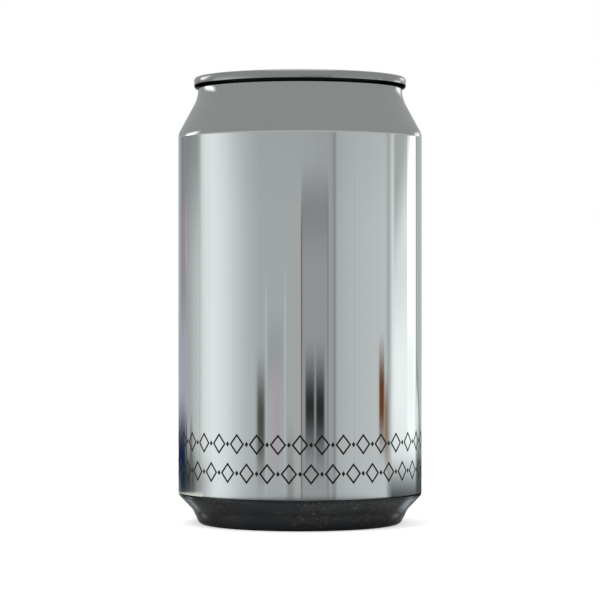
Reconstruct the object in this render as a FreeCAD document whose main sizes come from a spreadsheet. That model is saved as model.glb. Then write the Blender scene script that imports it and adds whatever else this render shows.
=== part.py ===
import FreeCAD, Part
import Sketcher
import math
import os
import re

# A shut two-piece drinks can, 350 ml class, standing upright.
# Frame: +Z up along the can's axis, origin at the centre of the stand ring's foot.
# -Y is the pouring side of the end. Lengths in millimetres, angles in degrees.
SIZES = {
    # can body
    "BodyRadius": 33.1,         # outside of the straight wall
    "CanHeight": 121.1,         # foot of the stand ring to the top of the double seam
    "StandRadius": 26.0,        # middle of the stand ring's flat foot
    "StandLand": 0.5,           # width of that flat foot
    "NoseRadius": 1.75,         # rounding of the stand ring on both sides of the foot
    "LegAngle": 25.0,           # outer leg of the stand ring, from upright
    "LegHeight": 3.9,           # foot to the bend between the leg and the base cone
    "LegBendRadius": 5.0,
    "BaseConeAngle": 44.0,      # base cone, from upright
    "BaseBendRadius": 1.8,      # rounding between the base cone and the wall
    "DomeDepth": 10.4,          # foot to the top of the underside's dome
    "DomeRadius": 46.0,         # sphere of the dome
    "DomeBendRadius": 1.2,      # rounding between the dome and the inner leg
    "ShoulderAngle": 28.7,      # neck cone, from upright
    "ShoulderBendRadius": 5.0,
    "NeckRadius": 27.7,         # outside of the plug neck under the seam
    "NeckLength": 2.4,          # seam's underside down to the corner of the neck cone
    "NeckBendRadius": 10.0,
    # end: double seam, chuck wall, countersink and panel
    "SeamHeight": 3.1,
    "SeamOverhang": 1.1,        # how far the seam stands out from the neck
    "SeamThickness": 1.5,
    "SeamCurlRadius": 0.95,     # lower outside edge
    "SeamTopRadius": 0.85,      # upper outside edge
    "SeamLipRadius": 0.5,       # upper inside edge
    "HookReach": 2.2,           # how far the body's rim reaches up into the seam
    "EndGauge": 0.25,           # sheet of the end
    "ChuckAngle": 14.0,         # chuck wall, from upright
    "CountersinkDepth": 6.35,   # top of the seam to the countersink's floor
    "CountersinkWidth": 1.1,
    "CountersinkRadius": 0.5,
    "PanelRise": 2.25,          # countersink's floor up to the panel
    "PanelEdgeRadius": 0.4,
    # pressed forms of the panel
    "RecessDepth": 0.4,
    "RecessFrontMargin": 4.0,   # panel's edge to the recess on the pouring side
    "RecessBackMargin": 5.2,
    "RecessFrontWidth": 31.0,
    "RecessBackWidth": 23.0,
    "RecessRounding": 9.0,
    "WellDepth": 0.7,           # finger well under the tab's heel, below the recess
    "WellMargin": 0.8,          # recess's edge to the well
    "WellLength": 7.6,
    "WellWidth": 15.0,
    "WellRounding": 3.4,
    "PourNear": 3.9,            # rivet's centre to the near side of the pouring panel
    "PourMargin": 1.6,          # recess's edge to the pouring panel
    "PourWidth": 24.0,
    "PourRounding": 7.4,
    "ScoreWidth": 0.45,
    "ScoreDepth": 0.12,
    "BeadInset": 2.6,           # pouring panel's edge to its raised stiffening
    "BeadRounding": 2.4,
    "BeadHeight": 0.3,
    # rivet, formed from the panel
    "ShankRadius": 1.7,
    "RivetRadius": 2.9,
    "RivetHeadHeight": 0.45,
    "RivetEdgeRadius": 0.25,
    # stay-on tab
    "TabNose": 8.4,             # rivet's centre to the tip of the nose
    "TabHeelMargin": 2.8,       # heel to the recess's edge behind it
    "TabNoseWidth": 13.4,
    "TabHeelWidth": 15.8,
    "TabNoseRounding": 6.2,
    "TabHeelRounding": 6.6,
    "TabThickness": 1.25,
    "TabEdgeRadius": 0.45,
    "TabRim": 2.3,              # width of the curled rim round the web and the finger hole
    "TabWeb": 0.4,              # sheet of the web that the rivet holds
    "WebRounding": 2.4,
    "TabBar": 5.6,              # rivet's centre to the bar between web and finger hole
    "TabBarWidth": 1.7,
    "HoleNearRounding": 1.2,    # finger hole, beside the bar
    "HoleFarRounding": 4.0,     # finger hole, beside the heel
    "IslandRadius": 3.9,        # tongue of the web round the rivet
    "IslandSlot": 0.5,
    "IslandHinge": 62.0,        # half of the angle left uncut in front of the rivet
    # fits
    "SeatClearance": 0.1,       # between the end's sheet and what it is seated in
    "NeckClearance": 0.05,      # between the neck and the seam round it
}

NAME = re.compile(r"\b([A-Z]\w+)")

# Heights and radii that several pieces share.
SEAM_FOOT = "(CanHeight - SeamHeight)"
HOOK_TOP = f"({SEAM_FOOT} + HookReach)"
NECK_CORNER = f"({SEAM_FOOT} - NeckLength)"
SHOULDER = f"({NECK_CORNER} - (BodyRadius - NeckRadius) / tan(ShoulderAngle))"
FOOT_CORNER = "(StandRadius + StandLand / 2 + NoseRadius * tan(45 - LegAngle / 2))"
LEG_BEND = f"({FOOT_CORNER} + LegHeight * tan(LegAngle))"
BASE_BEND = f"(LegHeight + (BodyRadius - {LEG_BEND}) / tan(BaseConeAngle))"
INNER_LEG = "(StandRadius - StandLand / 2 - NoseRadius)"
DOME_CORNER = f"(DomeDepth - DomeRadius + sqrt(DomeRadius ^ 2 - {INNER_LEG} ^ 2))"
SEAM_RADIUS = "(NeckRadius + SeamOverhang)"
SEAM_MOUTH = f"({SEAM_RADIUS} - SeamThickness)"
SINK_FLOOR = "(CanHeight - CountersinkDepth)"
SINK_UNDERSIDE = f"({SINK_FLOOR} - EndGauge)"
PANEL = f"({SINK_FLOOR} + PanelRise)"
RECESS = f"({PANEL} - RecessDepth)"
PANEL_EDGE = f"({SEAM_MOUTH} - CountersinkDepth * tan(ChuckAngle) - CountersinkWidth)"
PANEL_WALL = f"({PANEL_EDGE} - EndGauge)"
RECESS_FRONT = f"({PANEL_EDGE} - RecessFrontMargin)"
RECESS_BACK = f"({PANEL_EDGE} - RecessBackMargin)"
POUR_FAR = f"({RECESS_FRONT} - PourMargin)"
WELL_END = f"({RECESS_BACK} - WellMargin)"
TAB_HEEL = f"({RECESS_BACK} - TabHeelMargin)"
HOLE_NEAR = "(TabBar + TabBarWidth)"
HOLE_FAR = f"({TAB_HEEL} - TabRim)"

document = FreeCAD.newDocument("drinks_can")
sheet = document.addObject("Spreadsheet::Sheet", "Sizes")
for row, (alias, size) in enumerate(SIZES.items(), start=1):
    sheet.set(f"A{row}", alias)
    sheet.set(f"B{row}", str(size))
    sheet.setAlias(f"B{row}", alias)
document.recompute()


def named(text):
    """The expression with each size read from the sheet."""
    return NAME.sub(r"Sizes.\1", text)


def value(text):
    """The expression's present value."""
    return float(sheet.evalExpression(named(text)))


def new_body(label):
    body = document.addObject("PartDesign::Body", label)
    body.Label = label
    return body


def new_sketch(body, name, role, height="0"):
    """A sketch on one of the body's origin planes, lifted to a height."""
    sketch = body.newObject("Sketcher::SketchObject", name)
    plane = next(item for item in body.Origin.OriginFeatures if item.Role == role)
    sketch.AttachmentSupport = [(plane, "")]
    sketch.MapMode = "FlatFace"
    sketch.setExpression("AttachmentOffset.Base.z", named(height))
    return sketch


def hold(sketch, kind, place, text):
    """Dimension a point of the sketch from its origin, along X or Y."""
    size = value(text)
    axis = -2 if kind == "DistanceX" else -1
    if abs(size) < 1e-9:
        sketch.addConstraint(Sketcher.Constraint("PointOnObject", *place, axis))
        return
    if size < 0:
        ends = (*place, -1, 1)
        text = f"-({text})"
    else:
        ends = (-1, 1, *place)
    index = sketch.addConstraint(Sketcher.Constraint(kind, *ends, abs(size)))
    sketch.setExpression(f"Constraints[{index}]", named(text))


def round_corner(before, corner, after, radius):
    """Both tangent points and the centre of the arc that rounds a corner."""
    to_before = (before - corner).normalize()
    to_after = (after - corner).normalize()
    half = math.acos(to_before.dot(to_after)) / 2
    reach = radius / math.tan(half)
    centre = corner + (to_before + to_after).normalize() * (radius / math.sin(half))
    return corner + to_before * reach, corner + to_after * reach, centre


def short_arc(start, end, centre):
    """The shorter arc between two points about a centre, anticlockwise as sketches hold it."""
    radius = (start - centre).Length
    angles = [math.atan2(point.y - centre.y, point.x - centre.x) for point in (start, end)]
    first, last = angles
    if math.sin(last - first) < 0:
        first, last = last, first
    first %= 2 * math.pi
    last %= 2 * math.pi
    if last < first:
        last += 2 * math.pi
    return Part.ArcOfCircle(Part.Circle(centre, FreeCAD.Vector(0, 0, 1), radius), first, last)


def outline(sketch, corners, bulge=None):
    """A closed outline through corners (x, y) or (x, y, rounding), all of them expressions.

    With a bulge, the last side, from the last corner to the first, is an arc of that
    radius about a centre on the sketch's upright axis.
    """
    points = [FreeCAD.Vector(value(corner[0]), value(corner[1]), 0) for corner in corners]
    count = len(points)
    starts = []
    ends = []
    arcs = {}
    for index, corner in enumerate(corners):
        if len(corner) == 2:
            starts.append(points[index])
            ends.append(points[index])
            continue
        after = points[(index + 1) % count]
        arcs[index] = round_corner(points[index - 1], points[index], after, value(corner[2]))
        ends.append(arcs[index][0])
        starts.append(arcs[index][1])
    sides = []
    for index in range(count):
        start, end = starts[index], ends[(index + 1) % count]
        if bulge and index == count - 1:
            centre = FreeCAD.Vector(0, end.y - value(bulge), 0)
            sides.append(sketch.addGeometry(short_arc(start, end, centre)))
        else:
            sides.append(sketch.addGeometry(Part.LineSegment(start, end)))
    for index, corner in enumerate(corners):
        side_in, side_out = sides[index - 1], sides[index]
        if index not in arcs:
            place_in = end_near(sketch, side_in, points[index])
            place_out = end_near(sketch, side_out, points[index])
            sketch.addConstraint(Sketcher.Constraint("Coincident", *place_in, *place_out))
            place = place_out
        else:
            arc = sketch.addGeometry(short_arc(*arcs[index]))
            first = end_near(sketch, arc, arcs[index][0])
            last = end_near(sketch, arc, arcs[index][1])
            sketch.addConstraint(Sketcher.Constraint("Tangent", side_in, 2, *first))
            sketch.addConstraint(Sketcher.Constraint("Tangent", *last, side_out, 1))
            radius = sketch.addConstraint(Sketcher.Constraint("Radius", arc, value(corner[2])))
            sketch.setExpression(f"Constraints[{radius}]", named(corner[2]))
            place = (sketch.addGeometry(Part.Point(points[index]), True), 1)
            sketch.addConstraint(Sketcher.Constraint("PointOnObject", *place, side_in))
            sketch.addConstraint(Sketcher.Constraint("PointOnObject", *place, side_out))
        hold(sketch, "DistanceX", place, corner[0])
        hold(sketch, "DistanceY", place, corner[1])
    if bulge:
        radius = sketch.addConstraint(Sketcher.Constraint("Radius", sides[-1], value(bulge)))
        sketch.setExpression(f"Constraints[{radius}]", named(bulge))


def end_near(sketch, side, point):
    """The side and the number of its end that lies on the point."""
    shape = sketch.Geometry[side]
    if (shape.StartPoint - point).Length < (shape.EndPoint - point).Length:
        return side, 1
    return side, 2


def circle(sketch, radius):
    """A circle about the sketch's origin."""
    ring = sketch.addGeometry(Part.Circle(FreeCAD.Vector(), FreeCAD.Vector(0, 0, 1), value(radius)))
    sketch.addConstraint(Sketcher.Constraint("Coincident", ring, 3, -1, 1))
    index = sketch.addConstraint(Sketcher.Constraint("Radius", ring, value(radius)))
    sketch.setExpression(f"Constraints[{index}]", named(radius))


def feature(body, kind, name, sketch, **lengths):
    """A sketched feature; its lengths are expressions."""
    made = body.newObject(f"PartDesign::{kind}", name)
    made.Profile = sketch
    for property_name, text in lengths.items():
        made.setExpression(property_name, named(text))
    return made


def turned(body, kind, name, sketch):
    """A revolution or groove about the body's upright axis."""
    made = feature(body, kind, name, sketch)
    made.ReferenceAxis = (sketch, ["V_Axis"])
    made.Angle = 360
    document.recompute()
    return made


def rounded(body, name, base, radius, chosen):
    """A fillet on the edges of the base that the test chooses."""
    document.recompute()
    edges = [f"Edge{number}" for number, edge in enumerate(base.Shape.Edges, 1) if chosen(edge)]
    made = body.newObject("PartDesign::Fillet", name)
    made.Base = (base, edges)
    made.setExpression("Radius", named(radius))
    document.recompute()
    return made


def lies_at(edge, height):
    """Whether the whole edge lies at one height."""
    box = edge.BoundBox
    return abs(box.ZMin - height) < 1e-3 and abs(box.ZMax - height) < 1e-3


def make_can_body():
    """The drawn body, closed and full: stand ring, dome, wall, neck and the end's seat."""
    body = new_body("can_body")
    section = new_sketch(body, "body_section", "XZ_Plane")
    seat_edge = f"({PANEL_WALL} - SeatClearance)"
    seat_floor = f"({SINK_UNDERSIDE} - SeatClearance)"
    outline(section, [
        ("0", "DomeDepth"),
        ("0", f"{RECESS} - WellDepth - EndGauge - SeatClearance"),
        (seat_edge, f"{RECESS} - WellDepth - EndGauge - SeatClearance"),
        (seat_edge, seat_floor),
        (f"{chuck_outside(seat_floor)} + SeatClearance", seat_floor),
        (f"{chuck_outside(HOOK_TOP)} + SeatClearance", HOOK_TOP),
        ("NeckRadius", HOOK_TOP),
        ("NeckRadius", NECK_CORNER, "NeckBendRadius"),
        ("BodyRadius", SHOULDER, "ShoulderBendRadius"),
        ("BodyRadius", BASE_BEND, "BaseBendRadius"),
        (LEG_BEND, "LegHeight", "LegBendRadius"),
        (FOOT_CORNER, "0", "NoseRadius"),
        (INNER_LEG, "0", "NoseRadius"),
        (INNER_LEG, DOME_CORNER),
    ], bulge="DomeRadius")
    turned(body, "Revolution", "full_body", section)
    full = body.Tip
    corner = value(DOME_CORNER)
    rounded(body, "dome_bend", full, "DomeBendRadius", lambda edge: lies_at(edge, corner))
    return body


def chuck_inside(height):
    """Radius of the chuck wall's upper side at a height."""
    return f"({SEAM_MOUTH} - (CanHeight - {height}) * tan(ChuckAngle))"


def chuck_outside(height):
    """Radius of the chuck wall's hidden side at a height."""
    return f"({chuck_inside(height)} + EndGauge / cos(ChuckAngle))"


def make_can_end():
    """The end: seam, chuck wall, countersink and a panel with its pressed forms and rivet."""
    body = new_body("can_end")
    section = new_sketch(body, "end_section", "XZ_Plane")
    outline(section, [
        ("0", f"{PANEL} - EndGauge"),
        (PANEL_WALL, f"{PANEL} - EndGauge", "PanelEdgeRadius - EndGauge"),
        (PANEL_WALL, SINK_UNDERSIDE, "CountersinkRadius + EndGauge"),
        (chuck_outside(SINK_UNDERSIDE), SINK_UNDERSIDE, "CountersinkRadius + EndGauge"),
        (chuck_outside(HOOK_TOP), HOOK_TOP),
        ("NeckRadius + NeckClearance", HOOK_TOP),
        ("NeckRadius + NeckClearance", SEAM_FOOT),
        (SEAM_RADIUS, SEAM_FOOT, "min(SeamCurlRadius; 0.95 * (SeamOverhang - NeckClearance))"),
        (SEAM_RADIUS, "CanHeight", "SeamTopRadius"),
        (SEAM_MOUTH, "CanHeight", "SeamLipRadius"),
        (chuck_inside(SINK_FLOOR), SINK_FLOOR, "CountersinkRadius"),
        (PANEL_EDGE, SINK_FLOOR, "CountersinkRadius"),
        (PANEL_EDGE, PANEL, "PanelEdgeRadius"),
        ("0", PANEL),
    ])
    turned(body, "Revolution", "seamed_sheet", section)
    emboss(body, "recess", PANEL, "RecessDepth", recess_corners)
    emboss(body, "finger_well", RECESS, "WellDepth", well_corners)
    score = new_sketch(body, "score_plan", "XY_Plane", RECESS)
    outline(score, pour_corners("0"))
    outline(score, pour_corners("-ScoreWidth"))
    feature(body, "Pocket", "score", score, Length="ScoreDepth")
    bead = new_sketch(body, "bead_plan", "XY_Plane", RECESS)
    outline(bead, bead_corners())
    feature(body, "Pad", "pour_bead", bead, Length="BeadHeight")
    shank = new_sketch(body, "shank_section", "XY_Plane", RECESS)
    circle(shank, "ShankRadius")
    feature(body, "Pad", "rivet_shank", shank, Length="TabWeb")
    head = new_sketch(body, "head_section", "XY_Plane", f"{RECESS} + TabWeb")
    circle(head, "RivetRadius")
    rivet = feature(body, "Pad", "rivet_head", head, Length="RivetHeadHeight")
    top = value(f"{RECESS} + TabWeb + RivetHeadHeight")
    rounded(body, "rivet_edge", rivet, "RivetEdgeRadius", lambda edge: lies_at(edge, top))
    return body


def emboss(body, name, level, depth, corners):
    """Press an outline down: its underside grows by the sheet's gauge, its top is cut."""
    underside = new_sketch(body, f"{name}_underside", "XY_Plane", f"{level} - EndGauge / 2")
    outline(underside, corners("EndGauge"))
    grown = feature(body, "Pad", f"{name}_pressed", underside, Length=f"{depth} + EndGauge / 2")
    grown.Reversed = True
    topside = new_sketch(body, f"{name}_topside", "XY_Plane", level)
    outline(topside, corners("0"))
    cut = feature(body, "Pocket", f"{name}_hollow", topside, Length=depth)
    document.recompute()
    return cut


def four_corners(half_front, front, half_back, back, rounding, grow):
    """A symmetric outline from its front (-Y) to its back, grown outwards all round."""
    reach = f"{rounding} + {grow}"
    return [
        (f"-({half_front} + {grow})", f"-({front} + {grow})", reach),
        (f"{half_front} + {grow}", f"-({front} + {grow})", reach),
        (f"{half_back} + {grow}", f"{back} + {grow}", reach),
        (f"-({half_back} + {grow})", f"{back} + {grow}", reach),
    ]


def recess_corners(grow):
    return four_corners("RecessFrontWidth / 2", RECESS_FRONT, "RecessBackWidth / 2",
                        RECESS_BACK, "RecessRounding", grow)


def well_corners(grow):
    return four_corners("WellWidth / 2", f"(WellLength - {WELL_END})", "WellWidth / 2",
                        WELL_END, "WellRounding", grow)


def pour_corners(grow):
    rounding = f"min(PourRounding; ({POUR_FAR} - PourNear) * 0.49)"
    return four_corners("PourWidth / 2", POUR_FAR, "PourWidth / 2", "-PourNear", rounding, grow)


def bead_corners():
    """The raised part of the pouring panel, ahead of the tab's nose."""
    near = "(TabNose + BeadInset / 2)"
    far = f"({POUR_FAR} - BeadInset)"
    rounding = f"min(BeadRounding; ({far} - {near}) * 0.45)"
    side = "(PourWidth / 2 - BeadInset)"
    return four_corners(side, far, side, f"-{near}", rounding, "0")


def tab_corners():
    """The tab's outline, narrower and rounder at the nose."""
    return [
        ("-TabNoseWidth / 2", "-TabNose", "TabNoseRounding"),
        ("TabNoseWidth / 2", "-TabNose", "TabNoseRounding"),
        ("TabHeelWidth / 2", TAB_HEEL, "TabHeelRounding"),
        ("-TabHeelWidth / 2", TAB_HEEL, "TabHeelRounding"),
    ]


def web_corners():
    """The sunk web between the tab's rim and the bar."""
    return four_corners("(TabNoseWidth / 2 - TabRim)", "(TabNose - TabRim)",
                        "(TabHeelWidth / 2 - TabRim)", "TabBar", "WebRounding", "0")


def hole_corners():
    """The finger hole between the bar and the heel's rim."""
    side = "(TabHeelWidth / 2 - TabRim)"
    near = f"min(HoleNearRounding; ({HOLE_FAR} - {HOLE_NEAR}) * 0.3)"
    far = f"min(HoleFarRounding; ({HOLE_FAR} - {HOLE_NEAR}) * 0.65)"
    return [
        (f"-{side}", HOLE_NEAR, near),
        (side, HOLE_NEAR, near),
        (side, HOLE_FAR, far),
        (f"-{side}", HOLE_FAR, far),
    ]


def island_slot(sketch):
    """A C-shaped slot round the rivet's island, open towards the nose."""
    inner = value("IslandRadius")
    outer = value("IslandRadius + IslandSlot")
    start = math.radians(value("IslandHinge") - 90)
    finish = math.pi - start
    arcs = []
    for radius, text in ((inner, "IslandRadius"), (outer, "IslandRadius + IslandSlot")):
        ring = Part.Circle(FreeCAD.Vector(), FreeCAD.Vector(0, 0, 1), radius)
        arc = sketch.addGeometry(Part.ArcOfCircle(ring, start, finish))
        sketch.addConstraint(Sketcher.Constraint("Coincident", arc, 3, -1, 1))
        index = sketch.addConstraint(Sketcher.Constraint("Radius", arc, radius))
        sketch.setExpression(f"Constraints[{index}]", named(text))
        arcs.append(arc)
    for number, angle, text in ((1, start, "IslandHinge - 90"), (2, finish, "270 - IslandHinge")):
        arm = FreeCAD.Vector(math.cos(angle), math.sin(angle), 0)
        end = sketch.addGeometry(Part.LineSegment(arm * inner, arm * outer))
        sketch.addConstraint(Sketcher.Constraint("Coincident", end, 1, arcs[0], number))
        sketch.addConstraint(Sketcher.Constraint("Coincident", end, 2, arcs[1], number))
        sketch.addConstraint(Sketcher.Constraint("PointOnObject", -1, 1, end))
        index = sketch.addConstraint(Sketcher.Constraint("Angle", end, angle))
        sketch.setExpression(f"Constraints[{index}]", named(text))


def make_stay_tab():
    """The stay-on tab: curled rim, sunk web with the island round the rivet, finger hole."""
    body = new_body("stay_tab")
    plan = new_sketch(body, "tab_plan", "XY_Plane")
    outline(plan, tab_corners())
    blank = feature(body, "Pad", "tab_blank", plan, Length="TabThickness")
    thickness = value("TabThickness")
    rounded(body, "tab_curl", blank, "TabEdgeRadius",
            lambda edge: lies_at(edge, 0) or lies_at(edge, thickness))
    web = new_sketch(body, "web_plan", "XY_Plane", "TabThickness")
    outline(web, web_corners())
    feature(body, "Pocket", "web_hollow", web, Length="TabThickness - TabWeb")
    hole = new_sketch(body, "hole_plan", "XY_Plane", "TabThickness")
    outline(hole, hole_corners())
    feature(body, "Pocket", "finger_hole", hole, Length="TabThickness")
    rivet = new_sketch(body, "rivet_plan", "XY_Plane", "TabThickness")
    circle(rivet, "ShankRadius + NeckClearance")
    feature(body, "Pocket", "rivet_hole", rivet, Length="TabThickness")
    slot = new_sketch(body, "slot_plan", "XY_Plane", "TabThickness")
    island_slot(slot)
    feature(body, "Pocket", "island_cut", slot, Length="TabThickness")
    body.setExpression("Placement.Base.z", named(RECESS))
    document.recompute()
    return body


pieces = [make_can_body(), make_can_end(), make_stay_tab()]
document.recompute()

for item in document.Objects:
    if "Invalid" in item.State or "Error" in item.State:
        raise RuntimeError(f"{item.Label} failed: {item.State}")
for piece in pieces:
    shape = piece.Shape
    if shape.isNull() or not shape.isValid() or len(shape.Solids) != 1:
        raise RuntimeError(f"{piece.Label} is not one valid solid")

os.makedirs("parts", exist_ok=True)
for piece in pieces:
    piece.Shape.exportStep(f"parts/{piece.Label}.step")
    box = piece.Shape.BoundBox
    print(piece.Label, round(piece.Shape.Volume, 1), "mm3, z", round(box.ZMin, 2), round(box.ZMax, 2))
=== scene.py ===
import bpy
import math
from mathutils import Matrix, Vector
from mathutils.geometry import tessellate_polygon


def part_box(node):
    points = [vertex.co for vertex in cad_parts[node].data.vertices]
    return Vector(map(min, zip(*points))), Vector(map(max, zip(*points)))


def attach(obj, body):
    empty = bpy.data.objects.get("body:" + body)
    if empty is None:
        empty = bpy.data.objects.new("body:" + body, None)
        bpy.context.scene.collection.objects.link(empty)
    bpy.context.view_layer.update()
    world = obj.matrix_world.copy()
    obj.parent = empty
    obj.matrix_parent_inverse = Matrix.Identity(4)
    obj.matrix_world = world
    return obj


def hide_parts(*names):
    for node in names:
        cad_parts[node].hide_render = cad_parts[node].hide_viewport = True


# A shut mirror-finish drinks can. Lengths are in millimetres until a mesh is made.
MM = 0.001
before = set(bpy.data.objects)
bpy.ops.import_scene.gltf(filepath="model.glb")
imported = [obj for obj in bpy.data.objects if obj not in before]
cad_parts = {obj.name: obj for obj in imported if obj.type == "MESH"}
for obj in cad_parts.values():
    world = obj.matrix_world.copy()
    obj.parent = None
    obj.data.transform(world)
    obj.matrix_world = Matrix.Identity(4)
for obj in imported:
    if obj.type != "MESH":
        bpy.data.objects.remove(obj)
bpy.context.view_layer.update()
body_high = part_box("can_body")[1]
end_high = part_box("can_end")[1]
tab_low, tab_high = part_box("stay_tab")

# Sizes of the can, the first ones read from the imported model. The tab lies on the recess.
WALL_RADIUS = body_high.x / MM
SEAM_RADIUS = end_high.x / MM
CAN_HEIGHT = end_high.z / MM
RECESS = tab_low.z / MM
TAB_TOP = tab_high.z / MM
TAB_HEEL = tab_high.y / MM
TAB_NOSE = -tab_low.y / MM

# The can body.
STAND_RADIUS = 26.0
STAND_LAND = 0.5
NOSE_RADIUS = 1.75
LEG_ANGLE = math.radians(25.0)
LEG_HEIGHT = 3.9
LEG_BEND_RADIUS = 5.0
BASE_CONE_ANGLE = math.radians(44.0)
BASE_BEND_RADIUS = 1.8
DOME_DEPTH = 10.4
DOME_RADIUS = 46.0
DOME_BEND_RADIUS = 0.8
SHOULDER_ANGLE = math.radians(28.7)
SHOULDER_BEND_RADIUS = 5.0
NECK_RADIUS = 27.7
NECK_LENGTH = 2.4
NECK_BEND_RADIUS = 10.0

# The end, from its seam in to the panel.
SEAM_HEIGHT = 3.1
SEAM_THICKNESS = 1.5
SEAM_CURL_RADIUS = 0.95
SEAM_TOP_RADIUS = 0.85
SEAM_LIP_RADIUS = 0.5
CHUCK_ANGLE = math.radians(14.0)
COUNTERSINK_DEPTH = 6.35
COUNTERSINK_WIDTH = 1.1
COUNTERSINK_RADIUS = 0.5
PANEL_RISE = 2.25
PANEL_EDGE_RADIUS = 0.4
NECK_CLEARANCE = 0.05       # between the neck and the seam round it

# The panel's pressed forms. Margins run from the edge of the form around.
RECESS_FRONT_MARGIN = 4.0
RECESS_BACK_MARGIN = 5.2
RECESS_FRONT_WIDTH = 31.0
RECESS_BACK_WIDTH = 23.0
RECESS_ROUNDING = 9.0
WELL_DEPTH = 0.7
WELL_MARGIN = 0.8
WELL_LENGTH = 7.6
WELL_WIDTH = 15.0
WELL_ROUNDING = 3.4
POUR_NEAR = 3.9             # rivet's centre to the pouring panel
POUR_MARGIN = 1.6
POUR_WIDTH = 24.0
POUR_ROUNDING = 7.4
SCORE_WIDTH = 0.45
SCORE_DEPTH = 0.12
SCORE_SLANT = 0.1           # how far each side of the score's groove leans
BEAD_HEIGHT = 0.3
BEAD_INSET = 2.6
BEAD_ROUNDING = 2.4
BEAD_GAP = 1.3              # tab's nose to the stiffening
RIVET_RADIUS = 2.9
RIVET_HEAD = 0.45
RIVET_EDGE_RADIUS = 0.25
DIMPLE_RADIUS = 1.3         # the shallow hollow in the rivet's head
DIMPLE_SLANT = 0.2
DIMPLE_DEPTH = 0.12

# The stay-on tab.
TAB_NOSE_WIDTH = 13.4
TAB_HEEL_WIDTH = 15.8
TAB_NOSE_ROUNDING = 6.2
TAB_HEEL_ROUNDING = 6.6
TAB_RIM = 2.3
TAB_OUTER_CURL = 0.8        # how wide the rim's round edge is outside and inside
TAB_INNER_CURL = 0.65
TAB_WEB = 0.4
TAB_BAR = 5.6               # rivet's centre to the bar between web and finger hole
TAB_BAR_WIDTH = 1.7
WEB_ROUNDING = 2.4
WEB_BEND = 0.2
HOLE_NEAR_ROUNDING = 1.2
HOLE_FAR_ROUNDING = 4.0
ISLAND_RADIUS = 3.9         # tongue of the web round the rivet
ISLAND_SLOT = 0.5
ISLAND_HINGE = 62.0         # half of the angle left uncut in front of the rivet, in degrees
HAIR = 0.01                 # the tab's skin stays this much off the panel and inside the CAD box

INK_THICKNESS = 0.02        # the wall lies this much inside, so the ink on it keeps the size
AXIS_GAP = 0.01             # a turned skin stops this far from the axis

# Heights and radii worked out from them.
SEAM_FOOT = CAN_HEIGHT - SEAM_HEIGHT
NECK_CORNER = SEAM_FOOT - NECK_LENGTH
SHOULDER = NECK_CORNER - (WALL_RADIUS - NECK_RADIUS) / math.tan(SHOULDER_ANGLE)
FOOT_CORNER = STAND_RADIUS + STAND_LAND / 2 + NOSE_RADIUS * math.tan(math.pi / 4 - LEG_ANGLE / 2)
LEG_BEND = FOOT_CORNER + LEG_HEIGHT * math.tan(LEG_ANGLE)
BASE_BEND = LEG_HEIGHT + (WALL_RADIUS - LEG_BEND) / math.tan(BASE_CONE_ANGLE)
INNER_LEG = STAND_RADIUS - STAND_LAND / 2 - NOSE_RADIUS
DOME_CENTRE = DOME_DEPTH - DOME_RADIUS
SEAM_MOUTH = SEAM_RADIUS - SEAM_THICKNESS
SINK_FLOOR = CAN_HEIGHT - COUNTERSINK_DEPTH
SINK_OUTER = SEAM_MOUTH - COUNTERSINK_DEPTH * math.tan(CHUCK_ANGLE)
PANEL_EDGE = SINK_OUTER - COUNTERSINK_WIDTH
PANEL = SINK_FLOOR + PANEL_RISE
RECESS_FRONT = PANEL_EDGE - RECESS_FRONT_MARGIN
RECESS_BACK = PANEL_EDGE - RECESS_BACK_MARGIN
POUR_FAR = RECESS_FRONT - POUR_MARGIN
WEB_TOP = RECESS + TAB_WEB

# Where the body's finish changes: just above the start of the shoulder's bend, and at the
# upper end of the base's bend. The neck's darker grey is partly painted reflection of a grey
# ceiling, and the base's near black is painted reflection of a dark table. Then where the
# near-black band on the curl under the seam ends: painted shade and painted reflection of the
# dark gap below it.
NECK_MARGIN = 0.25
CURL_SHADE_HEIGHT = 1.5
NECK_ZONE = SHOULDER - SHOULDER_BEND_RADIUS * math.tan(SHOULDER_ANGLE / 2) + NECK_MARGIN
BASE_ZONE = BASE_BEND + BASE_BEND_RADIUS * math.tan(BASE_CONE_ANGLE / 2)
CURL_SHADE_ZONE = SEAM_FOOT + CURL_SHADE_HEIGHT


def tone(shade):
    """The light of a shade as the eye sees it, where 1 is white."""
    return ((shade + 0.055) / 1.055) ** 2.4


def shade_colour(red, green, blue):
    """A colour from its three shades as seen."""
    return tone(red), tone(green), tone(blue), 1.0


# ---------------------------------------------------------------- node graphs

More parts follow.
